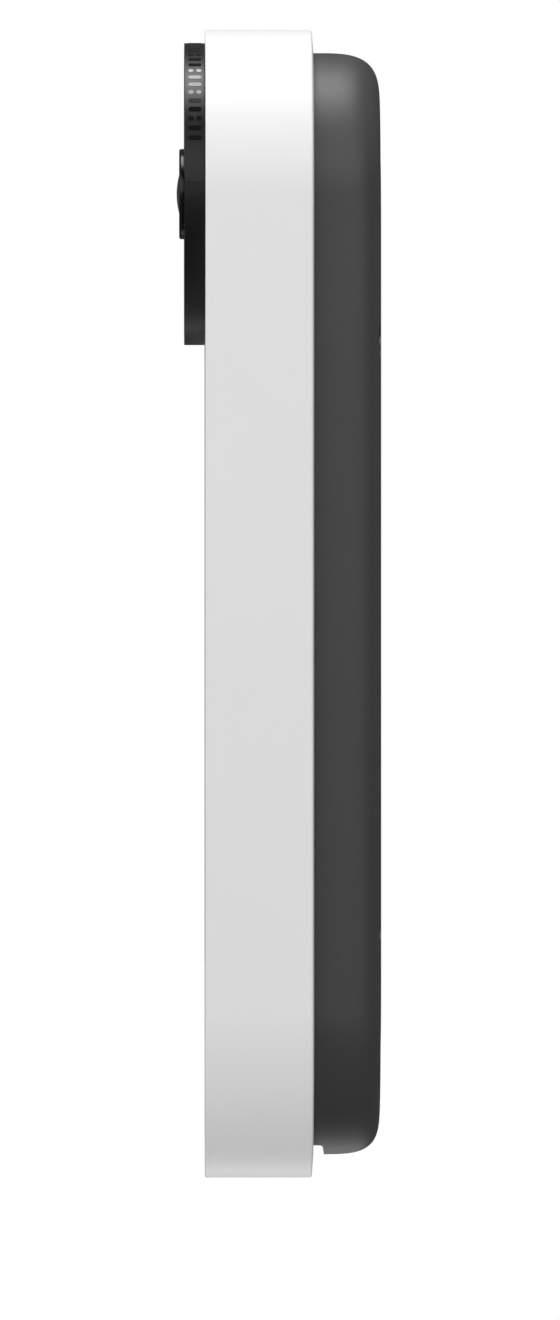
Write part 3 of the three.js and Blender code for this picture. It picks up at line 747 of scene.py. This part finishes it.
def make_rim_marks():
    """Plain bars around the top of the rim: two long ones, then a pair of short ones."""
    build = bmesh.new()
    pitch = 1.5 / DISC_RADIUS  # 1.5 mm, as an angle
    half_count = 17
    long_bar, short_bar, offset = 1.85, 0.75, 0.55
    for i in range(-half_count, half_count + 1):
        if i % 3:
            rim_mark(build, i * pitch, 0.0, long_bar)
        else:
            rim_mark(build, i * pitch, -offset, short_bar)
            rim_mark(build, i * pitch, offset, short_bar)
    bmesh.ops.remove_doubles(build, verts=build.verts, dist=1e-4)
    finished(new_object("rim_marks", build), "gloss_black", "doorbell")


def make_window():
    bore, radius, thickness, edge = 5.3, 20.3, 1.0, 0.08
    outline = rounded([
        (bore, DISC_FRONT + thickness, 0),
        (bore, DISC_FRONT, edge),
        (radius, DISC_FRONT, edge),
        (radius, DISC_FRONT + thickness, edge),
    ], closed=True)
    window = pill_loft("camera_window_fine", outline, centre=CAMERA, closed=True)
    sensor_hole = flared_hole(3.2, edge, DISC_FRONT, 3.0)
    boolean(window, [pill_loft("hole_tool", sensor_hole, 0.0, MOTION_SENSOR, SMALL_STEPS)])
    finished(window, "gloss_black", "doorbell", "camera_window")


def make_bezel():
    bore, radius, back, neck, neck_bore, neck_back = 2.78, 6.3, -27.4, 5.0, 4.5, -25.4
    outline = rounded([
        (bore, back, 0),
        (bore, BEZEL_FRONT, 0.12),
        (radius, BEZEL_FRONT, 0.3),
        (radius, back, 0.05),
        (neck, back, 0),
        (neck, neck_back, 0),
        (neck_bore, neck_back, 0),
        (neck_bore, back, 0),
    ], closed=True)
    bezel = pill_loft("lens_bezel_fine", outline, centre=CAMERA, closed=True)
    finished(bezel, "gloss_black", "doorbell", "lens_bezel", material="satin_black")


def make_lens():
    curve, radius, back = 10.4, 2.7, -25.6
    rise = curve - math.sqrt(curve ** 2 - radius ** 2)
    outline = []
    steps = 14
    for i in range(steps + 1):
        r = radius * i / steps
        outline.append((r, BEZEL_FRONT - rise + curve - math.sqrt(curve ** 2 - r ** 2)))
    outline += [(radius, back), (0.0, back)]
    lens = pill_loft("lens_dome_fine", outline, centre=CAMERA)
    finished(lens, "lens_glass", "doorbell", "lens_dome")


def make_motion_lens():
    """A shallow dome with fine moulded rings."""
    radius, low, high, neck, neck_back = 3.05, -27.22, -26.4, 2.6, -26.1
    outline = []
    rings = 24
    for i in range(rings):
        r = (radius - 0.2) * i / (rings - 1)
        ridge = 0.02 if i % 2 else 0.0
        outline.append((r, low + 0.15 * (r / radius) ** 2 + ridge))
    outline += [(radius, low + 0.4), (radius, high), (neck, high), (neck, neck_back), (0.0, neck_back)]
    lens = pill_loft("motion_sensor_lens_fine", outline, 0.0, MOTION_SENSOR, SMALL_STEPS)
    finished(lens, "silicone", "doorbell", "motion_sensor_lens")


make_camera_disc()
make_rim_marks()
make_window()
make_bezel()
make_lens()
make_motion_lens()


# ---- the button ----

def make_button():
    """A faintly dished cap over a boss that reaches back to the switch."""
    radius, front, skirt, wall = 11.6, -24.3, -21.0, 1.2
    boss, boss_end, dish = 2.2, -19.6, 0.3
    face = []
    steps = 12
    for i in range(steps):
        r = (radius - 1.0) * i / steps
        face.append((r, front + dish * math.cos(math.pi / 2 * r / (radius - 1.0)) ** 2))
    edge = rounded([
        (radius - 1.0, front, 0),
        (radius, front, 0.4),
        (radius, skirt, 0.1),
        (radius - wall, skirt, 0.1),
        (radius - wall, front + 1.6, 0.3),
        (boss, front + 1.6, 0.2),
        (boss, boss_end, 0.2),
        (0.0, boss_end, 0),
    ])
    cap = pill_loft("button_cap_fine", face + edge, centre=BUTTON)
    finished(cap, "white_plastic", "button", "button_cap")


def make_light_ring():
    inner, outer, front, back = 12.0, 13.4, -24.36, -19.5
    flange, flange_front, flange_back = 14.8, -22.1, -21.0
    outline = rounded([
        (inner, back, 0.1),
        (inner, front, 0.3),
        (outer, front, 0.3),
        (outer, flange_front, 0),
        (flange, flange_front, 0.1),
        (flange, flange_back, 0.1),
        (outer, flange_back, 0),
        (outer, back, 0.1),
    ], closed=True)
    ring = pill_loft("button_light_ring_fine", outline, centre=BUTTON, closed=True)
    finished(ring, "diffuser", "doorbell", "button_light_ring")


def make_membrane():
    """The rubber seal under the cap, which gives way as the cap is pressed."""
    radius, front, back = 14.2, -19.2, -18.45
    outline = rounded([(0.0, front, 0), (radius, front, 0.2), (radius, back, 0.2), (0.0, back, 0)])
    membrane = pill_loft("button_membrane_fine", outline, centre=BUTTON)
    finished(membrane, "silicone", "doorbell", "button_membrane")
    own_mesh(membrane)


make_button()
make_light_ring()
make_membrane()


# ---- screws ----

def cross_outline(arm, half_width):
    """A cross drive, with four arms."""
    a, w = arm, half_width
    return [(w, a), (w, w), (a, w), (a, -w), (w, -w), (w, -a),
            (-w, -a), (-w, -w), (-a, -w), (-a, w), (-w, w), (-w, a)]


def star_outline(radius, depth):
    """A six-lobed drive, as a wavy circle."""
    points = []
    steps = 60
    for k in range(steps):
        turn = 2 * math.pi * k / steps
        r = radius + depth * math.cos(6 * turn)
        points.append((r * math.cos(turn), r * math.sin(turn)))
    return points


def make_screw(node, slot, body, place, head, shank, drive):
    """A screw from its head's radius, face and underside, and its shank's radius and tip."""
    head_radius, face, under = head
    shank_radius, tip = shank
    outline = rounded([
        (0.0, face, 0),
        (head_radius, face, 0.45),
        (head_radius, under, 0.12),
        (shank_radius, under, 0.1),
        (shank_radius, tip, 0.2),
        (0.0, tip, 0),
    ], steps=4)
    screw = pill_loft(node + "_fine", outline, 0.0, place, SMALL_STEPS)
    depth = 0.8
    boolean(screw, [front_prism("drive_tool", drive, place, face - depth, face + depth)])
    finished(screw, slot, body, node)


star_drive = star_outline(0.95, 0.16)
small_cross = cross_outline(1.6, 0.32)
large_cross = cross_outline(2.3, 0.45)
for node, place in CASE_SCREWS.items():
    make_screw(node, "steel", "doorbell", place, (2.3, -2.4, -3.8), (0.95, -13.5), star_drive)
for node, place in TERMINALS.items():
    make_screw(node, "brass", "doorbell", place, (2.6, -2.6, -4.8), (1.3, -9.5), small_cross)
for node, place in WALL_SCREWS.items():
    make_screw(node, "steel", "wall_bracket", place, (4.2, -2.95, -1.6), (1.9, -0.1), large_cross)


# ---- the charging port and the reset button ----

def make_port():
    """A charging socket with a tongue inside, and its contacts on both faces of the tongue."""
    low_x, high_x, bottom_x, outer, inner = -18.0, -11.0, -12.0, 1.6, 1.25
    shell_outline = stadium_x(outer, PORT_HALF_SPAN)
    hollow_outline = stadium_x(inner, PORT_HALF_SPAN)
    socket = prism("usb_port_fine", shell_outline, (low_x, 0, 0), (high_x, 0, 0), 0.1)
    hollow = prism("hollow_tool", hollow_outline, (low_x - 1, 0, 0), (bottom_x, 0, 0))
    boolean(socket, [hollow])
    half_thickness, half_width = 0.35, 3.3
    tongue_low = (-17.4, PORT_Y - half_thickness, PORT_Z - half_width)
    tongue_high = (-11.5, PORT_Y + half_thickness, PORT_Z + half_width)
    boolean(socket, [block("tongue", tongue_low, tongue_high, 0.1)], "UNION")
    finished(socket, "tinned_steel", "doorbell", "usb_port")
    build = bmesh.new()
    contacts, pitch, contact_size, contact_x = 12, 0.5, (4.4, 0.08, 0.24), -14.9
    for i in range(contacts):
        z = PORT_Z + (i - (contacts - 1) / 2) * pitch
        for side in (-1, 1):
            made = bmesh.ops.create_cube(build, size=1.0)["verts"]
            bmesh.ops.scale(build, vec=contact_size, verts=made)
            bmesh.ops.translate(build, vec=(contact_x, PORT_Y + side * 0.36, z), verts=made)
    finished(new_object("usb_contacts", build), "brass", "doorbell")


def make_flap():
    """The flap has the shell's own outside, so that it closes flush."""
    flap = boolean(rear_outside("usb_flap_fine"), [flap_box("flap_tool", 0.0)], "INTERSECT")
    finished(flap, "silicone", "port_flap", "usb_flap")


def make_reset_button():
    outline = rounded([
        (0.0, -3.7, 0),
        (1.9, -3.7, 0.3),
        (1.9, -5.9, 0),
        (2.7, -5.9, 0.1),
        (2.7, -6.7, 0.1),
        (0.0, -6.7, 0),
    ])
    key = pill_loft("reset_button_fine", outline, 0.0, RESET, SMALL_STEPS)
    finished(key, "black_plastic", "reset_key", "reset_button")


make_port()
make_flap()
make_reset_button()


# ---- the release and the wall bracket ----

def make_release_lever():
    outline = rounded([
        (-9.1, -73.2, 0.2),
        (-8.2, -73.2, 0.2),
        (-8.2, -71.3, 0.3),
        (-2.3, -71.3, 0.2),
        (-2.3, -70.3, 0.2),
        (-9.1, -70.3, 0.8),
    ], closed=True)
    half_width, edge = 2.4, 0.12
    lever = side_prism("release_lever_fine", outline, half_width, edge)
    finished(lever, "steel", "release_catch", "release_lever")


def make_wall_plate():
    """The plate on the wall, with the hook's tongue above and the latch's seat below."""
    radius, front, back = 10.4, -3.0, 0.0
    outline = rounded([(0.0, front, 0), (radius, front, 0.4), (radius, back, 0.3), (0.0, back, 0)])
    plate = pill_loft("wall_plate_fine", outline[1:-1], PLATE_HALF_SPAN)
    boolean(plate, [block("tongue", (-5.0, -3.4, 57.0), (5.0, -2.2, 71.6), 0.35)], "UNION")
    ahead = -5.0  # where each tool begins, in front of the plate
    windows = ((7.8, 16.0, 33.0), (5.0, -18.0, -6.0), (5.0, -44.0, -24.0))
    tools = []
    for half_width, low_z, high_z in windows:
        low, high = (-half_width, ahead, low_z), (half_width, 2.0, high_z)
        tools.append(block("window_tool", low, high, 0.9, 5))
    screw_hole, head_seat, rivet_hole = 2.3, 4.6, 1.15
    for place in WALL_SCREWS.values():
        tools.append(rod(screw_hole, ahead, 1.0, place))
        tools.append(rod(head_seat, ahead, -1.4, place, 28))
    tools.append(block("latch_seat_tool", (-4.3, ahead, -64.0), (4.3, -2.3, -54.9), 0.3))
    tools.append(rod(rivet_hole, ahead, -0.4, RIVET, 12))
    boolean(plate, tools)
    finished(plate, "aluminium", "wall_bracket", "wall_plate")


def make_latch_spring():
    """A bent strip, which is pushed up as the release lever rises."""
    thickness, half_width = 0.4, 3.8
    path = rounded([
        (-2.8, -55.5, 0),
        (-2.8, -60.3, 2.0),
        (-5.6, -62.0, 1.2),
        (-6.75, -63.4, 1.0),
        (-6.3, -65.0, 1.5),
        (-2.6, -67.2, 1.0),
        (-2.45, -69.6, 0),
    ], steps=8)
    points = [Vector(p) for p in path]
    sides = ([], [])
    for i, point in enumerate(points):
        before, after = points[max(i - 1, 0)], points[min(i + 1, len(points) - 1)]
        along = (after - before).normalized()
        across = Vector((-along.y, along.x)) * thickness / 2
        sides[0].append(point - across)
        sides[1].append(point + across)
    outline = [tuple(p) for p in sides[0] + sides[1][::-1]]
    spring = side_prism("latch_spring_fine", outline, half_width, 0.05)
    boolean(spring, [rod(1.15, -5.0, 0.0, RIVET, 12)])
    finished(spring, "steel", "wall_bracket", "latch_spring")
    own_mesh(spring)


def make_rivet():
    outline = rounded([
        (0.0, -3.85, 0),
        (1.7, -3.75, 0.35),
        (1.7, -3.15, 0.05),
        (0.9, -3.15, 0),
        (0.9, -0.6, 0.1),
        (0.0, -0.6, 0),
    ])
    rivet = pill_loft("latch_rivet_fine", outline, 0.0, RIVET, SMALL_STEPS)
    finished(rivet, "brass", "wall_bracket", "latch_rivet")


make_release_lever()
make_wall_plate()
make_latch_spring()
make_rivet()


# ---- every CAD node that stays gets its own finish ----

slots = {entry["node"]: entry["material_slot"] for entry in frame["record"]["subparts"]}
for name, node in frame["nodes"].items():
    node.data.materials.clear()
    node.data.materials.append(MATERIALS[slots[name]])

bpy.context.scene.view_settings.view_transform = "Standard"
